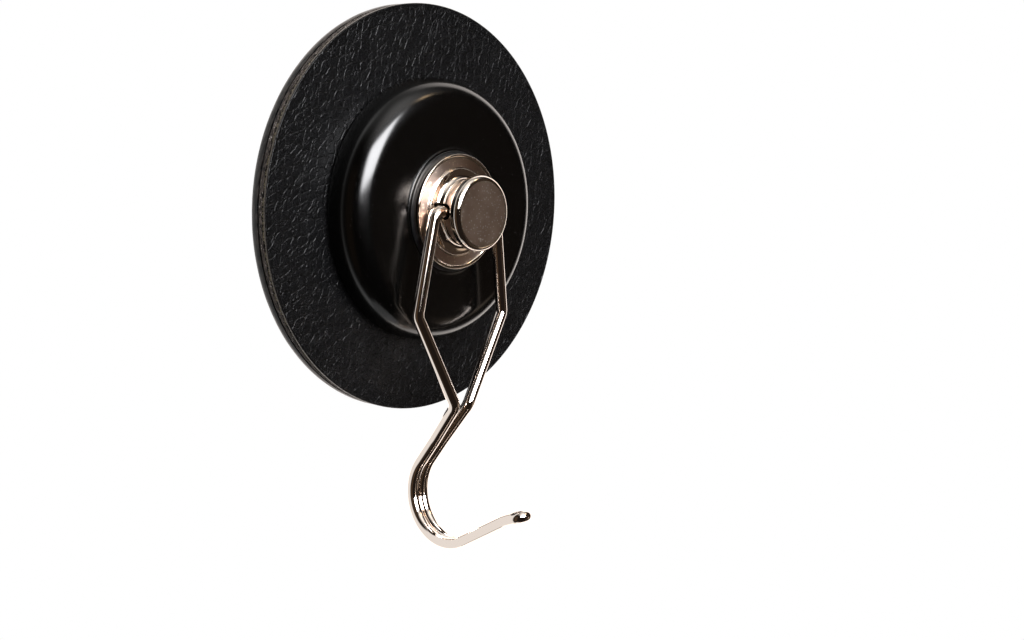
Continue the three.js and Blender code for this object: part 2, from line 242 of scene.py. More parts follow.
# %% [markdown]
# ## Colours and nodes
# A colour is written as the sRGB hex that a paint shop or a picture editor would show, and one
# function turns it to the linear values that Blender's shaders work in. Another adds a node with
# its settings and its links, so that a finish reads as a list of what feeds what. Two nodes come
# back all the time. Map Range takes a pattern from its limits 1 and 2 to its limits 3 and 4, or to
# 0 and 1 where none are given, and Mix goes by that share from its colour 6 to its colour 7.

# %% Colour, node and material helpers
def colour(code):
    """Linear RGBA for an sRGB hex code."""
    parts = [int(code[i:i + 2], 16) / 255 for i in (1, 3, 5)]
    return [p / 12.92 if p <= 0.04045 else ((p + 0.055) / 1.055) ** 2.4 for p in parts] + [1]


def node(tree, kind, numbered=None, out=None, **named):
    """Adds a shader node and gives back one output: the one that is asked for, or else its first in
    use. Inputs come as a list from 0 on, by number, or by name with a capital, and the other names
    are settings. An input takes a value, a hex colour or a socket to link. Mix mixes colours."""
    made = tree.nodes.new("ShaderNode" + kind)
    if kind == "Mix":
        made.data_type = "RGBA"
    inputs = dict(enumerate(numbered) if isinstance(numbered, list) else numbered or {})
    for key, value in named.items():
        if key[0].isupper():
            inputs[key] = value
        else:
            setattr(made, key, value)
    for key, value in inputs.items():
        if isinstance(value, bpy.types.NodeSocket):
            tree.links.new(value, made.inputs[key])
        else:
            made.inputs[key].default_value = colour(value) if isinstance(value, str) else value
    return made.outputs[out] if out else next(socket for socket in made.outputs if socket.enabled)


def finish(name, base, roughness, metallic=0.0, **more):
    """A material with one Principled shader, whose steady values sit on its own sockets. With it
    come add, which adds a node to it, and the place on the object, where patterns start."""
    made = bpy.data.materials.new(name)
    made.use_nodes = True
    shader = made.node_tree.nodes["Principled BSDF"]
    values = {"Base Color": colour(base), "Roughness": roughness, "Metallic": metallic}
    values.update({key.replace("_", " "): value for key, value in more.items()})
    for key, value in values.items():
        shader.inputs[key].default_value = value
    add = partial(node, made.node_tree)
    return made, add, add("TexCoord", out="Object")


def feed(made, bump, **sockets):
    """Links patterns to the inputs of a material's shader, and gives the material back. bump is the
    pattern that the surface rises by, its strength, and its height in mm."""
    shader = made.node_tree.nodes["Principled BSDF"]
    height, strength, tall = bump
    sockets["Normal"] = node(
        made.node_tree, "Bump", Height=height, Strength=strength, Distance=tall * MM)
    for key, socket in sockets.items():
        made.node_tree.links.new(socket, shader.inputs[key.replace("_", " ")])
    return made


def per_mm(size):
    """The scale that gives a texture in metres features of one size in mm."""
    return 1 / (size * MM)


def spots(add, place, size, full, gone, uneven=1.0):
    """One round spot in each cell of a stated size in mm: 1 up to the share full of that size from
    its middle, and 0 beyond the share gone."""
    cells = add("TexVoronoi", Vector=place, Scale=per_mm(size), Randomness=uneven)
    return add("MapRange", [cells, full, gone, 1.0, 0.0])


def dress(piece, body, materials, replaced):
    """Gives a new piece its materials and its body, and hides the node that it stands for."""
    for material in materials:
        piece.data.materials.append(material)
    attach(piece, body)
    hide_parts(replaced)
    print(f"{piece.name}: {len(piece.data.polygons)} faces on {body}")


# %% [markdown]
# ## The leather face
# The disc is faced with thin black leather. Its skin is not quite flat, and the embossed grain
# makes rounded pebbles about 1.5 mm across, parted by narrow creases. The slow waves are put into
# the mesh, where they bend every reflection a little. A square grid is mapped to the round face,
# because rings about a centre would crowd there and leave the rim coarse.

# %% The leather face's surface
LEATHER_GRID = 181
LEATHER_WAVE = 0.05
WAVE_LENGTH = 3.8
LEATHER_ROUND = 0.22


def square_to_disc(count, radius):
    """Maps a square grid to a disc, ring by ring: a point's ring is the larger of its two square
    coordinates, and its place along the ring is an equal share of a quarter turn."""
    a, b = np.meshgrid(np.linspace(-1, 1, count), np.linspace(-1, 1, count), indexing="ij")
    wide = np.abs(a) > np.abs(b)
    ring = np.where(wide, a, b)
    part = np.divide(np.where(wide, b, a), ring, out=np.zeros_like(ring), where=ring != 0)
    angle = np.where(wide, math.pi / 4 * part, math.pi / 2 - math.pi / 4 * part)
    return np.stack([ring * np.cos(angle), ring * np.sin(angle)], -1).reshape(-1, 2) * radius


def leather_face():
    """The waved face on a square grid, with the rounded edge, the side and the back joined on."""
    back = heights("leather_skin")[0]
    face_radius = disc_radius - LEATHER_ROUND
    flat = square_to_disc(LEATHER_GRID, face_radius)
    spatial = np.column_stack([flat, np.zeros(len(flat))])
    depth = LEATHER_WAVE * (0.5 + 0.5 * smooth_noise(spatial, WAVE_LENGTH, 3))
    face = np.column_stack([flat[:, 0], depth - disc_face, flat[:, 1]])
    index = np.arange(LEATHER_GRID ** 2).reshape(LEATHER_GRID, LEATHER_GRID)
    rim = np.concatenate([index[0, :-1], index[:-1, -1], index[-1, :0:-1], index[:0:-1, 0]])
    outward = face[rim][:, [0, 2]] / np.linalg.norm(face[rim][:, [0, 2]], axis=1)[:, None]
    edge = np.vstack([
        arc((face_radius, disc_face - LEATHER_ROUND), LEATHER_ROUND, 75, 0, 5),
        straight((disc_radius, disc_face - LEATHER_ROUND), (disc_radius, back), 3)[1:],
    ])
    rings = np.stack([
        edge[:, :1] * outward[:, 0],
        -edge[:, 1:] + 0 * outward[:, 0],
        edge[:, :1] * outward[:, 1],
    ], -1)
    points = np.vstack([face, rings.reshape(-1, 3)])
    ring_index = np.arange(rings.shape[0] * len(rim)).reshape(-1, len(rim)) + len(face)
    ring_index = np.vstack([rim, ring_index])
    sides = quads(np.hstack([ring_index, ring_index[:, :1]]))
    faces = quads(index) + sides + [ring_index[-1].tolist()]
    return mesh_piece("leather_face", points, faces, sharp_angle=75)


leather_piece = leather_face()
print(f"leather face: {len(leather_piece.data.polygons)} faces, waves {LEATHER_WAVE} mm deep")

# %% [markdown]
# The grain is finer than a sensible mesh, so the finish makes it. Voronoi cells whose places are
# pushed about by noise give uneven pebbles: the distance to a cell's edge makes the crease and the
# pebble's crown. Cells of half the size add wrinkles where the creases are weak. Black leather is a
# satin finish with a weak reflection, so what shows of the grain is the light on the creases'
# edges. The cut edge shows the lighter fibres under the coat, so the material turns to their colour
# where the surface lies behind the face.

# %% Leather finish
PEBBLE = 1.55
CREASE = 0.15
GRAIN_DEEP = 0.06
ROW_SLOPE = -0.3
CUT_STARTS, CUT_FULL = 0.1, 0.18


def leather_finish():
    """Pigmented, embossed leather: black, satin, with pebbles of PEBBLE mm in rows that slope by
    ROW_SLOPE. Creases of CREASE mm part them, and weaker ones split them."""
    made, add, place = finish("pigmented leather", "#0c0c0d", 0.3, Specular_IOR_Level=0.16)
    x, y, z = add("SeparateXYZ", [place]).node.outputs
    row = add("Math", [x, ROW_SLOPE, z], operation="MULTIPLY_ADD")
    flat = add("CombineXYZ", [x, row])
    pushed = flat
    for wave, far in ((3.5, 1.6), (0.8, 0.3)):
        wander = add("TexNoise", Vector=flat, Scale=per_mm(wave), Detail=1.0, out="Color")
        push = add("VectorMath", {0: wander, 3: far * MM}, operation="SCALE")
        pushed = add("VectorMath", [pushed, push], operation="ADD")
    edges, splits = (
        add("TexVoronoi", Vector=pushed, Scale=per_mm(cell), Randomness=uneven,
            voronoi_dimensions="2D", feature="DISTANCE_TO_EDGE")
        for cell, uneven in ((PEBBLE, 0.6), (PEBBLE / 2, 0.9))
    )
    pores = add("TexNoise", Vector=place, Scale=per_mm(0.3), Detail=4.0, Roughness=0.65)
    strength = add("TexNoise", Vector=flat, Scale=per_mm(1.3), Detail=3.0)
    weak = add("MapRange", [strength, 0.42, 0.6, 0.0, 0.6])
    main = add("MapRange", [strength, 0.38, 0.6, 1.0, 0.3])
    land = add("MapRange", [edges, 0.0, CREASE / PEBBLE])
    fold = add("MapRange", [splits, 0.0, 1.6 * CREASE / PEBBLE])
    fold = add("Math", [fold, weak], operation="MULTIPLY")
    grain = add("Math", [land, main, fold], operation="MULTIPLY_ADD")
    crown = add("Math", [edges, 0.5, grain], operation="MULTIPLY_ADD")
    grain = add("Math", [pores, 0.35, crown], operation="MULTIPLY_ADD")
    # Painted shade: the creases are painted a touch darker than the land of the pebbles.
    painted_crease_shade = add("Mix", {0: land, 6: "#080808", 7: "#0e0e0f"})
    cut = add("MapRange", [y, (CUT_STARTS - disc_face) * MM, (CUT_FULL - disc_face) * MM])
    cut_side = add("MapRange", [pores, 0.35, 0.7])
    fibre = add("Mix", {0: cut_side, 6: "#38332f", 7: "#776e65"})
    surface = add("Mix", {0: cut, 6: painted_crease_shade, 7: fibre})
    dull = add("MapRange", [pores, 0.3, 0.7, 0.24, 0.36])
    return feed(made, (grain, 0.8, GRAIN_DEEP), Base_Color=surface, Roughness=dull)


dress(leather_piece, "wall_disc", [leather_finish()], "leather_skin")

# %% [markdown]
# ## The layers under the leather
# From the side the disc is a sandwich: a thick, smooth foam tape at the wall, a dark groove where
# the steel disc lies back, a band of grey felted fibre, and thin dark foam with open pores. They
# are made as turned rings whose edges are roughened with noise, because each band catches the light
# in its own way.

# %% Ring layers with rough edges
RIM_SIDES = 1200
EDGE_STEPS = 8
EDGE_LAND = 0.1
PIT_FROM, PIT_RANGE = 0.05, 0.22


def rough_layer(name, node_name, radius, rough, grain, seed, bulge=0.0, pitted=0.0, lip=0.0):
    """A flat layer with a rough edge. Its edge radius is the stated one, less the noise's share of
    the roughness, plus a bulge that follows a half sine across its thickness. Where the noise
    passes PIT_FROM there is a pit, as deep as stated, and its depth is kept for the finish. A lip
    is how far the edge is turned back over the layer behind it."""
    back, front = heights(node_name)
    share = np.linspace(0, 1, EDGE_STEPS)
    side = np.column_stack([np.full(EDGE_STEPS, radius), back - lip + (front - back + lip) * share])
    inner, outer = radius * 0.97, radius - EDGE_LAND
    profile = np.vstack([
        [[0, back]], straight((inner, back), (outer, back), 3), side,
        straight((outer, front), (inner, front), 3), [[0, front]],
    ])
    grid = turned_grid(profile, RIM_SIDES)
    flat = grid.reshape(-1, 3)
    noise = 0.7 * smooth_noise(flat, grain, seed) + 0.3 * smooth_noise(flat, grain * 0.45, seed + 3)
    noise = noise.reshape(grid.shape[:2])
    pit = np.clip((noise - PIT_FROM) / PIT_RANGE, 0, 1)
    shift = -rough * (0.5 + 0.5 * noise) - pitted * pit
    swell = bulge * np.sin(math.pi * share)
    edge = slice(4, 4 + EDGE_STEPS)  # the side, after the four points of the back
    radial = grid[edge] / np.linalg.norm(grid[edge][..., [0, 2]], axis=-1)[..., None]
    grid[edge] += (radial * np.array([1, 0, 1])) * (shift[edge] + swell[:, None])[..., None]
    faces = grid_faces(len(profile), RIM_SIDES, wrap_columns=True)
    return mesh_piece(name, grid.reshape(-1, 3), faces, sharp_angle=60, pits=pit)


TAPE_BULGE = 0.12
tape_piece = rough_layer(
    "foam_tape", "adhesive_foam", disc_radius - TAPE_BULGE, 0.03, 2.0, 41, bulge=TAPE_BULGE)
felt_piece = rough_layer(
    "felted_fibre", "fibre_backing", reach("fibre_backing"), 0.14, 0.3, 43, lip=0.06)
pitted_piece = rough_layer(
    "pitted_foam", "foam_layer", reach("foam_layer"), 0.1, 0.6, 47, pitted=0.4)

# %% [markdown]
# The tape is soft black polyethylene foam with a smooth skin, and greyer streaks paint a dull sheen
# on it.
# The felt is pressed from light and dark fibres that lie along the disc, so its patterns are
# stretched along the rim and it shows pale specks where fibres end. The thin foam is a yellow grey,
# and its pores, taken from the pits of the mesh, are painted black as painted shade.

# %% Layer finishes
def tape_finish():
    """Skinned polyethylene foam: nearly black, with greyer streaks along the rim that paint a dull
    sheen.
    """
    made, add, place = finish("skinned polyethylene foam", "#121213", 0.3, Specular_IOR_Level=0.3)
    along = add("VectorMath", [place, (1, 5, 1)], operation="MULTIPLY")
    skin = add("TexNoise", Vector=along, Scale=per_mm(1.6), Detail=4.0, Roughness=0.6)
    dull = add("MapRange", [skin, 0.3, 0.7, 0.25, 0.45])
    # Painted highlight: greyer streaks along the rim stand in for the tape's dull sheen.
    painted_sheen = add("MapRange", [skin, 0.42, 0.62])
    tint = add("Mix", {0: painted_sheen, 6: "#050505", 7: "#3d3835"})
    return feed(made, (skin, 0.5, 0.06), Base_Color=tint, Roughness=dull)


def felt_finish():
    """Pressed fibre board: dark grey brown in lines along the rim, with pale specks 0.2 mm wide."""
    made, add, place = finish("pressed fibre board", "#35302d", 0.8, Specular_IOR_Level=0.2)
    along = add("VectorMath", [place, (1, 4, 1)], operation="MULTIPLY")
    fibres = add("TexNoise", Vector=along, Scale=per_mm(0.9), Detail=5.0, Roughness=0.8)
    dark = add("MapRange", [fibres, 0.44, 0.58])
    ground = add("Mix", {0: dark, 6: "#080706", 7: "#6e645e"})
    pale = spots(add, place, 0.45, 0.14, 0.24)
    lit = add("MapRange", [fibres, 0.47, 0.58])
    seen = add("Math", [pale, lit], operation="MULTIPLY")
    mix = add("Mix", {0: seen, 6: ground, 7: "#efe8e2"})
    return feed(made, (fibres, 0.8, 0.12), Base_Color=mix)


def pitted_finish():
    """Open foam: yellow-grey walls, and a pore 0.4 mm wide every half millimetre, painted black as
    painted shade.
    """
    made, add, place = finish("open-pored foam", "#3a352b", 0.8, Specular_IOR_Level=0.2)
    depth = add("Attribute", out="Fac", attribute_name="pit")
    fine = add("TexNoise", Vector=place, Scale=per_mm(0.25), Detail=3.0)
    wall = add("MapRange", [fine, 0.35, 0.65])
    walls = add("Mix", {0: wall, 6: "#39332a", 7: "#9a8f74"})
    pore = spots(add, place, 0.5, 0.36, 0.46, uneven=0.7)
    # Painted shade: the pores, from the mesh's pits and from round spots, are painted near black.
    painted_pore_shade = add("Math", [depth, pore], operation="MAXIMUM")
    mix = add("Mix", {0: painted_pore_shade, 6: walls, 7: "#090807"})
    return feed(made, (fine, 0.6, 0.06), Base_Color=mix)


dress(tape_piece, "wall_disc", [tape_finish()], "adhesive_foam")
dress(felt_piece, "wall_disc", [felt_finish()], "fibre_backing")
dress(pitted_piece, "wall_disc", [pitted_finish()], "foam_layer")

# %% [markdown]
# ## The foot's cover
# The cover is moulded in one piece with a high gloss. From its rim a full shoulder turns to a
# nearly flat crown with a small collar in the middle. On black gloss the shoulder is read only from
# its reflections, so its curve matters more than its colour. It is the same curve as in the packed
# model, with many more points.

# %% The cover's surface
COVER_SIDES = 256
COVER_WALL = 1.8
RIM_ROUND = 0.25
SHOULDER_WIDE = 4.35
SHOULDER_TALL = 5.5
SHOULDER_FULLNESS = 0.63
COLLAR_RADIUS = 10.0
COLLAR_FILLET = 2.6
COLLAR_EDGE = 0.2
CROWN_TOP = 6.05
BORE_RADIUS = 5.25
ROOF_INSIDE = 4.4
ROOF_CORNER = 1.8


def cover_profile():
    """The cover's section, outside from the rim to the collar and back down the inside."""
    inside = cover_radius - COVER_WALL
    edge = cover_radius - SHOULDER_WIDE
    start, top = cover_back + RIM_ROUND, cover_back + RIM_ROUND + SHOULDER_TALL
    crown, roof = disc_face + CROWN_TOP, disc_face + ROOF_INSIDE
    collar, collar_land = COLLAR_RADIUS + COLLAR_FILLET, COLLAR_RADIUS - COLLAR_EDGE
    collar_side = collar_top - COLLAR_EDGE
    return np.vstack([
        straight((inside, cover_back), (cover_radius - RIM_ROUND, cover_back)),
        arc((cover_radius - RIM_ROUND, cover_back + RIM_ROUND), RIM_ROUND, -90, 0, 6),
        bezier(
            (cover_radius, start), (cover_radius, start + SHOULDER_TALL * SHOULDER_FULLNESS),
            (edge + SHOULDER_WIDE * SHOULDER_FULLNESS, top), (edge, top), count=48,
        ),
        straight((edge, top), (collar, crown), 12),
        bezier((collar, crown), (COLLAR_RADIUS, crown), (COLLAR_RADIUS, collar_side), count=12),
        arc((collar_land, collar_side), COLLAR_EDGE, 0, 90, 6),
        chain((collar_land, collar_top), (BORE_RADIUS, collar_top), (BORE_RADIUS, roof),
              (inside - ROOF_CORNER, roof)),
        bezier((inside - ROOF_CORNER, roof), (inside, roof), (inside, roof - ROOF_CORNER), count=8),
        straight((inside, roof - ROOF_CORNER), (inside, cover_back)),
    ])


cover_piece = turned("gloss_cover", cover_profile(), COVER_SIDES)

# %% [markdown]
# Polished ABS copies the polish of its mould. It is black all through, so what shows is the
# reflection: bright, a little soft, with a very slight waviness and a few grains of dust.

# %% Gloss finish
def gloss_finish():
    """High-gloss moulded ABS: black, with faint waves of about 6 mm and sparse dust."""
    made, add, place = finish("high-gloss ABS", "#030303", 0.17, IOR=1.5)
    wave = add("TexNoise", Vector=place, Scale=per_mm(6.0), Detail=1.0)
    haze = add("TexNoise", Vector=place, Scale=per_mm(1.5), Detail=3.0)
    dull = add("MapRange", [haze, 0.3, 0.7, 0.165, 0.195])
    dust = spots(add, place, 1.6, 0.03, 0.07)
    tint = add("Mix", {0: dust, 6: "#030303", 7: "#2a2828"})
    return feed(made, (wave, 0.12, 0.08), Base_Color=tint, Roughness=dull)


dress(cover_piece, "magnet_foot", [gloss_finish()], "foot_cover")

# %% [markdown]
# ## Rubber, bearing and magnet
# Under the foot lies a thin rubber disc, seen when the foot is pulled off. It is made again with a
# round edge and a fine moulded texture. The thin washer between collar and flange gets the same
# care, because its edge is the black line around the knob. The pieces inside the foot keep the
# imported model's shapes and get the finish of what they are.

# %% Liner and washer
DISC_SIDES = 192
LINER_EDGE = 0.15
WASHER_EDGE, WASHER_BORE = 0.06, 4.3


def flat_disc(name, node_name, edge, bore=0.0):
    """A flat ring or disc with rounded edges, as a closed section or one that ends on the axis."""
    radius = reach(node_name)
    back, front = heights(node_name)
    outside = np.vstack([
        straight((bore, back), (radius - edge, back)),
        arc((radius - edge, back + edge), edge, -90, 0, 5),
        arc((radius - edge, front - edge), edge, 0, 90, 5),
        straight((radius - edge, front), (bore, front)),
    ])
    return turned(name, outside, DISC_SIDES, closed=bore > 0)


liner_piece = flat_disc("rubber_liner", "foot_liner", LINER_EDGE)
washer_piece = flat_disc("acetal_washer", "thrust_washer", WASHER_EDGE, WASHER_BORE)


def rubber_finish():
    """Moulded rubber: matt black, with a fine even texture of about 0.3 mm."""
    made, add, place = finish("moulded rubber", "#161617", 0.8)
    grain = add("TexVoronoi", Vector=place, Scale=per_mm(0.3))
    tint = add("Mix", {0: grain, 6: "#1b1b1c", 7: "#101011"})
    return feed(made, (grain, 0.6, 0.05), Base_Color=tint)


def acetal_finish():
    """Turned acetal: black and waxy, with the faint rings of the lathe."""
    made, add, place = finish("turned acetal", "#0d0d0e", 0.35)
    flat = add("VectorMath", [place, (1, 0, 1)], operation="MULTIPLY")
    rings = add(
        "TexWave", Vector=flat, Scale=per_mm(0.25) / (2 * math.pi), Distortion=0.4,
        out="Fac", wave_type="RINGS", rings_direction="SPHERICAL",
    )
    dull = add("MapRange", {0: rings, 3: 0.28, 4: 0.42})
    return feed(made, (rings, 0.3, 0.02), Roughness=dull)


acetal = acetal_finish()
dress(liner_piece, "magnet_foot", [rubber_finish()], "foot_liner")
dress(washer_piece, "magnet_foot", [acetal], "thrust_washer")

# %% Finishes of the inner pieces
def plated_finish(name, base, low, high, crystals, tint):
    """Zinc-plated or rolled steel: bright grey, mottled by the crystals of the plating."""
    made, add, place = finish(name, base, (low + high) / 2, metallic=1.0)
    spangle = add("TexVoronoi", Vector=place, Scale=per_mm(crystals))
    cloud = add("TexNoise", Vector=place, Scale=per_mm(crystals * 0.4), Detail=3.0)
    dull = add("MapRange", [cloud, 0.3, 0.7, low, high])
    mix = add("Mix", {0: spangle, 6: base, 7: tint})
    return feed(made, (cloud, 0.2, 0.03), Base_Color=mix, Roughness=dull)


def powder_finish(name, base, tint, grain, roughness):
    """A pressed or moulded body: dull, with grains of a stated size."""
    made, add, place = finish(name, base, roughness)
    grains = add("TexNoise", Vector=place, Scale=per_mm(grain), Detail=4.0)
    mix = add("Mix", {0: grains, 6: base, 7: tint})
    return feed(made, (grains, 0.4, 0.03), Base_Color=mix)


zinc = plated_finish("zinc-plated steel", "#b4b6b9", 0.22, 0.4, 2.5, "#9a9ca1")
inner = {
    "steel_disc": plated_finish("rolled sheet steel", "#8d8e91", 0.3, 0.5, 1.0, "#6f7074"),
    "yoke_cup": zinc,
    "retaining_washer": zinc,
    "retaining_screw": zinc,
    "ring_magnet": powder_finish("sintered ferrite", "#35363a", "#4a4b50", 0.3, 0.6),
    "magnet_spacer": powder_finish("moulded nylon", "#d6d4cd", "#c4c1b8", 0.8, 0.5),
    "bearing_bush": acetal,
}
for name, material in inner.items():
    frame["nodes"][name].material_slots[0].material = material
print("inner pieces dressed:", ", ".join(inner))

# %% [markdown]
# ## The knob
# The knob is turned from one bar and plated with nickel: a flange with a fine raised rim, a low
# step, a hollow curve up to the neck, and a flat head. A cross hole in the neck holds the bail's
# two ends. The profile is turned like the others, and the hole is the one place where a cutter is
# simpler than a formula, so a Boolean cuts it from a dense mesh and is applied at once.

# %% The knob's surface
KNOB_SIDES = 288
FLANGE_THICK = 1.05
FLANGE_ROUND = 0.2
BEAD_WIDE = 0.4
BEAD_TALL = 0.15
STEP_RADIUS = 6.85
STEP_TALL = 0.4
STEP_ROUND = 0.18
STEP_LAND = 0.2
NECK_RADIUS = 5.0
NECK_BLEND = 1.4
HEAD_BACK = 4.65
HEAD_RADIUS = 5.95
HEAD_BACK_ROUND = 0.15
HEAD_ROUND = 0.85
SPIGOT_RADIUS = 4.0
SCREW_BORE = 2.15
SCREW_BORE_END = 0.6
CROSS_HOLE_HEIGHT = 2.45
CROSS_HOLE_RADIUS = 1.25
CUTTER_SIDES = 64
COUNTERSINK = 0.22
POLISHED, BLASTED, TURNED = 0, 1, 2


def knob_runs():
    """The knob's section as runs, grouped by finish. Heights are from the flange's back."""
    land = FLANGE_THICK - BEAD_TALL
    rim = flange_radius - FLANGE_ROUND
    bead = rim - BEAD_WIDE
    step_foot, step_edge = STEP_RADIUS + STEP_ROUND, STEP_RADIUS - STEP_ROUND
    step_top = land + STEP_TALL
    blend, neck_start = step_edge - STEP_LAND, step_top + NECK_BLEND
    back_edge, back_side = HEAD_RADIUS - HEAD_BACK_ROUND, HEAD_BACK + HEAD_BACK_ROUND
    front = knob_front - flange_back
    front_edge, front_side = HEAD_RADIUS - HEAD_ROUND, front - HEAD_ROUND
    spigot_back = heights("swivel_knob")[0] - flange_back
    return [
        (POLISHED, [
            chain((0, SCREW_BORE_END), (SCREW_BORE, SCREW_BORE_END), (SCREW_BORE, spigot_back),
                  (SPIGOT_RADIUS, spigot_back), (SPIGOT_RADIUS, 0), (rim, 0)),
            arc((rim, FLANGE_ROUND), FLANGE_ROUND, -90, 0),
            arc((rim, FLANGE_THICK - FLANGE_ROUND), FLANGE_ROUND, 0, 90),
            bezier((rim, FLANGE_THICK), (bead + BEAD_TALL, FLANGE_THICK), (bead, land)),
        ]),
        (TURNED, [straight((bead, land), (step_foot, land), 12)]),
        (POLISHED, [
            bezier((step_foot, land), (STEP_RADIUS, land), (STEP_RADIUS, land + STEP_ROUND)),
            arc((step_edge, step_top - STEP_ROUND), STEP_ROUND, 0, 90),
            straight((step_edge, step_top), (blend, step_top), 4),
            bezier((blend, step_top), (NECK_RADIUS, step_top), (NECK_RADIUS, neck_start), count=22),
        ]),
        (BLASTED, [straight((NECK_RADIUS, neck_start), (NECK_RADIUS, HEAD_BACK), 22)]),
        (POLISHED, [
            straight((NECK_RADIUS, HEAD_BACK), (back_edge, HEAD_BACK)),
            arc((back_edge, back_side), HEAD_BACK_ROUND, -90, 0, 6),
            straight((HEAD_RADIUS, back_side), (HEAD_RADIUS, front_side), 8),
            arc((front_edge, front_side), HEAD_ROUND, 0, 90, 16),
        ]),
        (BLASTED, [straight((front_edge, front), (0, front), 14)]),
    ]


def knob_piece():
    """The turned knob, its faces numbered by finish."""
    runs = [(number, points) for number, group in knob_runs() for points in group]
    profile = np.vstack([points for _, points in runs])
    profile[:, 1] += flange_back
    finishes = np.concatenate([np.full(len(points), number) for number, points in runs])
    grid = turned_grid(profile, KNOB_SIDES)
    faces = grid_faces(len(profile), KNOB_SIDES, wrap_columns=True)
    finishes = np.repeat(finishes[:-1], KNOB_SIDES)
    return mesh_piece("nickel_knob", grid.reshape(-1, 3), faces, finishes=finishes)


def cut(piece, cutter):
    """Takes the cutter's shape out of the piece and throws the cutter away."""
    tool = piece.modifiers.new("cut", "BOOLEAN")
    tool.object = cutter
    tool.solver = "EXACT"
    view = bpy.context.evaluated_depsgraph_get()
    mesh = bpy.data.meshes.new_from_object(piece.evaluated_get(view))
    piece.modifiers.clear()
    piece.data = mesh
    mesh.set_sharp_from_angle(angle=math.radians(SHARP_ANGLE))
    bpy.data.objects.remove(cutter)


def cross_hole_cutter():
    """A pin along X with flared ends, which leaves a small countersink in the neck's side."""
    half, flare = NECK_RADIUS + 1, NECK_RADIUS - COUNTERSINK
    hole, wide = CROSS_HOLE_RADIUS, CROSS_HOLE_RADIUS + 1
    section = np.array([
        (0, -half), (wide, -half), (hole, -flare), (hole, flare), (wide, half), (0, half),
    ])
    grid = turned_grid(section, CUTTER_SIDES)[..., [1, 0, 2]] * [-1, 1, 1]
    grid[..., 1] -= flange_back + CROSS_HOLE_HEIGHT
    faces = grid_faces(len(section), CUTTER_SIDES, wrap_columns=True)
    return mesh_piece("cross_hole", grid.reshape(-1, 3), faces)


knob = knob_piece()
cut(knob, cross_hole_cutter())
print(f"knob: {len(knob.data.polygons)} faces with its cross hole")

# %% [markdown]
# Nickel is a warm, slightly yellow metal. The polished runs are a mirror. The flange's face keeps
# the fine rings of the turning tool. Such rings spread light across themselves and not along
# themselves, which draws a bright fan from the middle outwards, so that face gets an anisotropic
# finish whose tangent points away from the axis. The head's face and the neck were blasted before
# plating, which leaves a grain of small pits. On these faces and on the flange the pits are rougher
# and painted paler, as painted glints.

# %% Nickel finishes
def bright_nickel(name, base, roughness, size, dull, strength, depth, detail=4.0, along_wire=False):
    """Bright nickel plate: a warm mirror with faint marks of a stated size, between two values of
    roughness. On a wire the marks of the drawing die run along it."""
    made, add, place = finish(name, base, roughness, metallic=1.0)
    if along_wire:
        place = add("Attribute", out="Vector", attribute_name="wire_place")
    marks = add("TexNoise", Vector=place, Scale=per_mm(size), Detail=detail)
    dull = add("MapRange", [marks, 0.35, 0.7, *dull])
    return feed(made, (marks, strength, depth), Roughness=dull)


def blasted_nickel():
    """Blasted and plated: a fine grain, with a pit every half millimetre that is rougher and
    painted paler, as a painted glint.
    """
    made, add, place = finish("blasted nickel plate", "#a99d93", 0.3, metallic=1.0)
    grain = add("TexNoise", Vector=place, Scale=per_mm(0.22), Detail=2.0, Roughness=0.6)
    pit = spots(add, place, 0.5, 0.1, 0.26)
    stain = add("TexNoise", Vector=place, Scale=per_mm(2.5), Detail=3.0)
    tint = add("Mix", {0: stain, 6: "#8f7b6e", 7: "#bba594"})
    # Painted glints: the pits are painted paler than the stained nickel round them.
    bright = add("Mix", {0: pit, 6: tint, 7: "#d9cdc1"})
    dull = add("Math", [pit, 0.3, 0.305], operation="MULTIPLY_ADD")
    both = add("Math", [pit, -0.5, grain], operation="MULTIPLY_ADD")
    return feed(made, (both, 0.1, 0.01), Base_Color=bright, Roughness=dull)


def turned_nickel():
    """Turned and plated: the highlight is drawn out away from the axis, along (x, 0, z). Its
    pits are rougher and painted paler, as painted glints.
    """
    made, add, place = finish(
        "turned nickel plate", "#ccb9ae", 0.3, metallic=1.0, Anisotropic=0.8,
    )
    outwards = add("VectorMath", [place, (1, 0, 1)], operation="MULTIPLY")
    pit = spots(add, place, 0.6, 0.1, 0.25)
    # Painted glints: pale specks at the pits stand in for light caught in them; the pits are rougher
    # too.
    painted_glint_specks = add("Mix", {0: pit, 6: "#ccb9ae", 7: "#fff0e0"})
    grain = add("TexNoise", Vector=place, Scale=per_mm(0.3), Detail=3.0)
    dull = add("Math", [pit, 0.4, 0.29], operation="MULTIPLY_ADD")
    return feed(made, (grain, 0.05, 0.02), Base_Color=painted_glint_specks, Roughness=dull, Tangent=outwards)


knob_finishes = [
    bright_nickel("polished nickel plate", "#ddd2c7", 0.08, 0.9, (0.06, 0.14), 0.15, 0.02),
    blasted_nickel(), turned_nickel(),
]
dress(knob, "swivel", knob_finishes, "swivel_knob")

# %% [markdown]
# ## The bail
# The bail is one drawn wire with both ends in the knob's cross hole. It leaves the hole sideways,
# bends down into a flared arm, turns in at the shoulder and comes close to the other side at the
# neck. Below it the two strands close up and run side by side round the hook, and a tight U-turn
# joins them at its tip. So one side's corners, the bend at each corner, the U-turn and the mirrored
# side are the whole path.

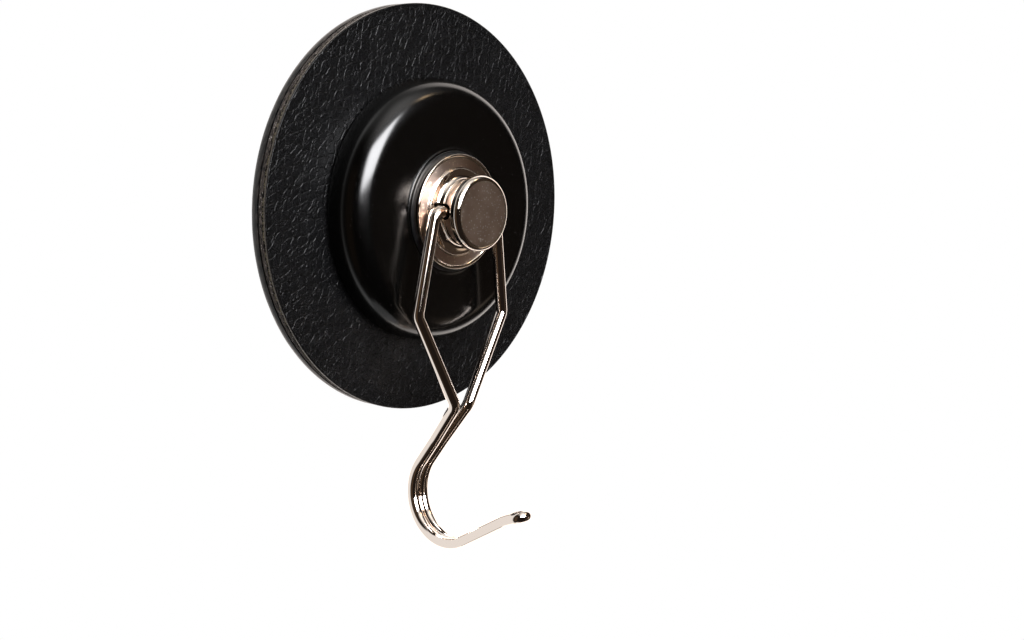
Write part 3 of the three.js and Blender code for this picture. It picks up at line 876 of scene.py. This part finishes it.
# %% The bail's path
WIRE_SIDES = 32
BEND_STEP = 3
WIRE_RADIUS = 0.95
WIRE_CHAMFER = 0.15
MARK_STRETCH = 0.04
STRAND_HALF = 1.02
END_HALF = 2.6
ELBOW_HALF, ELBOW_BEND = 6.85, 1.35
SHOULDER_HALF, SHOULDER_DROP, SHOULDER_BEND = 9.6, 16.1, 1.7
NECK_HALF, NECK_DROP, NECK_BEND = 1.45, 30.6, 2.2
JOIN_DROP, JOIN_BEND = 36.8, 12
HOOK_RADIUS, HOOK_DROP, HOOK_OUT = 7.65, 45.35, -0.2
BACK_ANGLE, PRONG_ANGLE, TIP_ANGLE = (math.radians(angle) for angle in (36.3, 30.3, 22))
TIP_BEND_OUT, TIP_BEND, TIP_OUT = 12.4, 7, 14.4


def bail_corners():
    """The corners of one side as half width, distance out from the pivot and drop below it. The
    hook is an arc between the back, which leans by the back angle, and the prong, which leans by
    the prong angle, so its corner lies where the two meet: at tangent = radius tan(turn / 2) from
    the arc's ends."""
    tangent = HOOK_RADIUS * math.tan((math.pi / 2 + BACK_ANGLE + PRONG_ANGLE) / 2)
    back_out = HOOK_OUT - HOOK_RADIUS * math.cos(BACK_ANGLE)
    back_drop = HOOK_DROP - HOOK_RADIUS * math.sin(BACK_ANGLE)
    prong_out = HOOK_OUT + HOOK_RADIUS * math.sin(PRONG_ANGLE)
    prong_drop = HOOK_DROP + HOOK_RADIUS * math.cos(PRONG_ANGLE)
    tip_bend_drop = prong_drop - (TIP_BEND_OUT - prong_out) * math.tan(PRONG_ANGLE)
    arc_out = back_out - tangent * math.sin(BACK_ANGLE)
    arc_drop = back_drop + tangent * math.cos(BACK_ANGLE)
    return [
        (END_HALF, 0, 0),
        (ELBOW_HALF, 0, 0),
        (SHOULDER_HALF, 0, SHOULDER_DROP),
        (NECK_HALF, back_out + (back_drop - NECK_DROP) * math.tan(BACK_ANGLE), NECK_DROP),
        (STRAND_HALF, back_out + (back_drop - JOIN_DROP) * math.tan(BACK_ANGLE), JOIN_DROP),
        (STRAND_HALF, arc_out, arc_drop),
        (STRAND_HALF, TIP_BEND_OUT, tip_bend_drop),
        (STRAND_HALF, TIP_OUT, tip_bend_drop - (TIP_OUT - TIP_BEND_OUT) * math.tan(TIP_ANGLE)),
    ]


def unit(vectors):
    """Vectors scaled to length 1."""
    return vectors / np.linalg.norm(vectors, axis=-1, keepdims=True)


def rounded_path(corners, bends):
    """Straight runs between corners, with an arc of the given radius at each inner corner. An arc
    starts at radius tan(turn / 2) before its corner, and its points turn by BEND_STEP degrees."""
    runs = []
    start = corners[0]
    for before, corner, after, radius in zip(corners, corners[1:], corners[2:], bends):
        to, on = unit(corner - before), unit(after - corner)
        turn = math.acos(to @ on)
        first = corner - to * radius * math.tan(turn / 2)
        inwards = unit(on - to * (to @ on))
        angle = np.linspace(0, turn, max(3, round(math.degrees(turn) / BEND_STEP)))[:, None]
        bend = first + radius * (np.sin(angle) * to + (1 - np.cos(angle)) * inwards)
        runs += [straight(start, first, 16)[:-1], bend[:-1]]
        start = bend[-1]
    return np.vstack(runs + [straight(start, corners[-1], 8)])


def bail_path():
    """One side, the U-turn in the plane of its last run, and the mirrored side walked back."""
    pivot = np.array([0, -(flange_back + CROSS_HOLE_HEIGHT), 0])
    corners = [pivot + np.array([half, -out, -drop]) for half, out, drop in bail_corners()]
    bends = [ELBOW_BEND, SHOULDER_BEND, NECK_BEND, JOIN_BEND, HOOK_RADIUS, TIP_BEND]
    side = rounded_path(corners, bends)
    onward = unit(side[-1] - side[-2])
    middle = side[-1] * np.array([0, 1, 1])
    angle = np.linspace(0, math.pi, 25)[1:-1, None]
    u_turn = middle + STRAND_HALF * (np.cos(angle) * np.array([1, 0, 0]) + np.sin(angle) * onward)
    return np.vstack([side, u_turn, (side * np.array([-1, 1, 1]))[::-1]])


# %% [markdown]
# The wire is a circle carried along the path. At each point the circle needs two directions across
# the wire, and they come from one fixed direction that the wire never runs along, so the circle
# doesn't twist. The ends are chamfered as cut wire is. Each point also keeps its place in the
# wire's own terms, which the finish uses for marks that run along the wire.

# %% The wire's surface
def wire_piece(name, path, radius):
    """A wire along a path: ring point = path + radius (cos a across + sin a over)."""
    forward = unit(np.diff(path, axis=0))
    tangent = unit(np.vstack([forward[:1], forward[:-1] + forward[1:], forward[-1:]]))
    fixed = np.array([1.0, 1.0, 1.0])
    across = unit(fixed - tangent * (tangent @ fixed)[:, None])
    over = np.cross(tangent, across)
    keep = np.r_[0, 0, 0:len(path), len(path) - 1, len(path) - 1]
    radii = np.r_[0, radius - WIRE_CHAMFER, np.full(len(path), radius), radius - WIRE_CHAMFER, 0]
    centres = path[keep].copy()
    centres[2] += tangent[0] * WIRE_CHAMFER
    centres[-3] -= tangent[-1] * WIRE_CHAMFER
    angle = np.linspace(0, 2 * math.pi, WIRE_SIDES, endpoint=False)
    cosine, sine = np.cos(angle)[:, None], np.sin(angle)[:, None]
    circle = cosine * across[keep][:, None] + sine * over[keep][:, None]
    grid = centres[:, None] + radii[:, None, None] * circle
    along = np.r_[0, np.cumsum(np.linalg.norm(np.diff(centres, axis=0), axis=1))]
    own = np.stack(np.broadcast_arrays(
        radius * np.cos(angle), radius * np.sin(angle), along[:, None] * MARK_STRETCH), -1)
    faces = grid_faces(len(grid), WIRE_SIDES, wrap_columns=True)
    return mesh_piece(name, grid.reshape(-1, 3), faces, sharp_angle=35, places=own * MM)


bail = wire_piece("nickel_bail", bail_path(), WIRE_RADIUS)
wire_finish = bright_nickel(
    "bright nickel wire", "#e4d8ce", 0.07, 0.25, (0.05, 0.09), 0.02, 0.01, 3.0, along_wire=True,
)
dress(bail, "bail", [wire_finish], "bail_wire")

# %% [markdown]
# ## The studio
# The hook is shown as for a catalogue: on white, under soft light from the front left, with a plain
# pale floor well below it. Dull pieces only need the light, but black gloss and bright nickel show
# the room itself. So the room is built for its mirror image: a large soft box in front, a glowing
# ceiling, white walls beside and behind the disc, two small reflectors, two brown screens, and the
# rest a dim brown. Only mirrors see it, and its soft box is much brighter than the lamp that lights
# the dull pieces, because black gloss gives back only a twenty-fifth of what it sees.

# %% Floor and lamp
FLOOR_SIDES, FLOOR_RADIUS, FLOOR_HEIGHT = 96, 300, -1200.0
LAMP_DISTANCE = 0.7


def disc_floor():
    """A plain round floor below the hook."""
    turn = np.linspace(0, 2 * math.pi, FLOOR_SIDES, endpoint=False)
    height = np.full(FLOOR_SIDES, FLOOR_HEIGHT)
    points = np.column_stack([FLOOR_RADIUS * np.cos(turn), FLOOR_RADIUS * np.sin(turn), height])
    floor = mesh_piece("floor", points, [list(range(FLOOR_SIDES))])
    floor.data.materials.append(finish("pale floor", "#e9e9e8", 0.6)[0])
    floor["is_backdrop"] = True


def direction(azimuth, elevation):
    """The way from the hook towards two angles, in degrees. Azimuth 0 is in front of the disc and
    90 is to its +X side."""
    a, e = math.radians(azimuth), math.radians(elevation)
    return Vector((math.sin(a) * math.cos(e), -math.cos(a) * math.cos(e), math.sin(e)))


def soft_box(name, azimuth, elevation, wide, tall, radiance):
    """An area lamp that faces the hook and covers the given angles, in degrees. An area lamp's
    power is pi times its area times its radiance. Mirrors don't see it, because the room's own soft
    box, with its soft edges, is there for them."""
    way = direction(azimuth, elevation)
    lamp = bpy.data.lights.new(name, "AREA")
    lamp.shape = "RECTANGLE"
    lamp.size = 2 * LAMP_DISTANCE * math.tan(math.radians(wide) / 2)
    lamp.size_y = 2 * LAMP_DISTANCE * math.tan(math.radians(tall) / 2)
    lamp.energy = math.pi * lamp.size * lamp.size_y * radiance
    holder = bpy.data.objects.new(name, lamp)
    holder.location = way * LAMP_DISTANCE
    holder.rotation_euler = way.to_track_quat("Z", "Y").to_euler()
    holder.visible_camera = False
    holder.visible_glossy = False
    bpy.context.scene.collection.objects.link(holder)
    print(f"{name}: {lamp.energy:.2f} W")


disc_floor()
soft_box("front soft box", -7, 21, 55, 42, 4.0)

# %% [markdown]
# Each patch of the room has four limits of its azimuth in degrees, which is 0 in front of the disc
# and 90 to its right, and four of its elevation: where it starts, where it is full, where it fades
# and where it is gone. Its radiance and its tint follow.

# %% The room that mirrors see
ALL_ROUND = (-200, -190, 190, 200)
ROOM = {
    "soft box": ((-38, -21, 11, 19), (6.5, 10, 34, 40), 24.0, "#fcfcff"),
    "glow above the box": ((-75, -5, 5, 75), (34, 50, 54, 95), 1.45, "#fffdfa"),
    "ceiling": (ALL_ROUND, (45, 76, 90, 100), 0.4, "#fffdfa"),
    "left white wall": ((-201, -200, -112, -96), (-100, -95, 55, 85), 1.0, "#ffffff"),
    "right white wall": ((84, 91, 200, 201), (-100, -95, 45, 80), 1.9, "#fff6f0"),
    "warm reflector": ((32, 36, 41, 45), (39, 42, 46, 49), 8.0, "#ffd9a8"),
    "low reflector": ((48, 51, 56, 60), (-30, -26, -12, -8), 0.8, "#ffe8d0"),
    "brown screen on the left": ((-92, -84, -66, -54), (-60, -40, 20, 35), 0.06, "#ffcf9f"),
    "brown screen on the right": ((24, 30, 54, 66), (-60, -40, 20, 34), 0.035, "#ffddc0"),
}
DIM_ROOM = "#221c18"
DULL_BELOW, DULL_ABOVE = 0.1, 0.7


def patch(add, azimuth, elevation, across, up):
    """How much of a patch shows in a direction: the product of two rises and two falls."""
    shown = 1.0
    for angle, (start, full, fade, gone) in ((azimuth, across), (elevation, up)):
        for low, high in ((start, full), (gone, fade)):
            rise = [angle, math.radians(low), math.radians(high)]
            edge = add("MapRange", rise, interpolation_type="SMOOTHSTEP")
            shown = add("Math", [edge, shown], operation="MULTIPLY")
    return shown


def world():
    """White to the camera, the room to mirrors and glass, and a low light to dull surfaces, which
    falls from DULL_ABOVE overhead to DULL_BELOW underneath."""
    made = bpy.data.worlds.new("studio")
    made.use_nodes = True
    bpy.context.scene.world = made
    add = partial(node, made.node_tree)
    way = add("TexCoord", out="Generated")
    x, y, z = add("SeparateXYZ", [way]).node.outputs
    forward = add("Math", [y, -1.0], operation="MULTIPLY")
    azimuth = add("Math", [x, forward], operation="ARCTAN2")
    elevation = add("Math", [z], operation="ARCSINE")
    seen = add("CombineXYZ", colour(DIM_ROOM)[:3])
    for across, up, radiance, tint in ROOM.values():
        shown = patch(add, azimuth, elevation, across, up)
        glow = [radiance * part for part in colour(tint)[:3]]
        light = add("VectorMath", {0: glow, 3: shown}, operation="SCALE")
        seen = add("VectorMath", [seen, light], operation="ADD")
    path = add("LightPath").node.outputs
    rays = [path["Is Glossy Ray"], path["Is Transmission Ray"]]
    mirrored = add("Math", rays, operation="MAXIMUM")
    low = add("MapRange", [z, -1.0, 1.0, DULL_BELOW, DULL_ABOVE])
    dull = add("Mix", {0: mirrored, 6: low, 7: seen})
    final = add("Mix", {0: path["Is Camera Ray"], 6: dull, 7: (1, 1, 1, 1)})
    made.node_tree.links.new(final, made.node_tree.nodes["Background"].inputs["Color"])
    print("room patches:", ", ".join(ROOM))


world()

# %% [markdown]
# ## The camera
# The camera stands where the photograph was taken from: to the left of the disc, a little above it,
# close, and turned slightly about its own axis.

# %% Camera
CAMERA_AZIMUTH, CAMERA_ELEVATION, CAMERA_ROLL = -48.64, 5.91, 3.03
CAMERA_DISTANCE = 0.230
NEAREST = 0.01
PHOTO_SIZE = (1024, 640)
FOCAL_PIXELS = 1412.2
ORIGIN_PIXEL = (411.2, 208.0)
SENSOR = 36.0


def photo_camera():
    """A camera with the photograph's distance, lens and roll. The origin is seen at ORIGIN_PIXEL,
    so the camera is moved sideways and down by that pixel's distance from the middle."""
    back = direction(CAMERA_AZIMUTH, CAMERA_ELEVATION)
    level = direction(CAMERA_AZIMUTH + 90, 0)
    right = Matrix.Rotation(math.radians(CAMERA_ROLL), 3, back) @ level
    up = back.cross(right)
    camera = bpy.data.objects.new("camera", bpy.data.cameras.new("camera"))
    camera.data.sensor_width = SENSOR
    camera.data.lens = FOCAL_PIXELS / PHOTO_SIZE[0] * SENSOR
    camera.data.clip_start = NEAREST
    per_pixel = CAMERA_DISTANCE / FOCAL_PIXELS
    sideways = (ORIGIN_PIXEL[0] - PHOTO_SIZE[0] / 2) * per_pixel
    upwards = (PHOTO_SIZE[1] / 2 - ORIGIN_PIXEL[1]) * per_pixel
    place = back * CAMERA_DISTANCE - right * sideways - up * upwards
    turned_view = Matrix((right, up, back)).transposed().to_4x4()
    camera.matrix_world = Matrix.Translation(place) @ turned_view
    bpy.context.scene.collection.objects.link(camera)
    bpy.context.scene.camera = camera
    print("camera at", [round(value, 4) for value in place], "mm lens", round(camera.data.lens, 2))


photo_camera()
bpy.context.scene.view_settings.view_transform = "Standard"

# %% Finish
shown_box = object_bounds()
boxes = {
    name: [list(map(float, corner)) for corner in box]
    for name, box in (("cad", cad_box), ("visual", shown_box))
}
grown = (np.array(boxes["visual"]) - np.array(boxes["cad"])) / MM
print("grown by", np.round(grown, 2).tolist(), "mm")
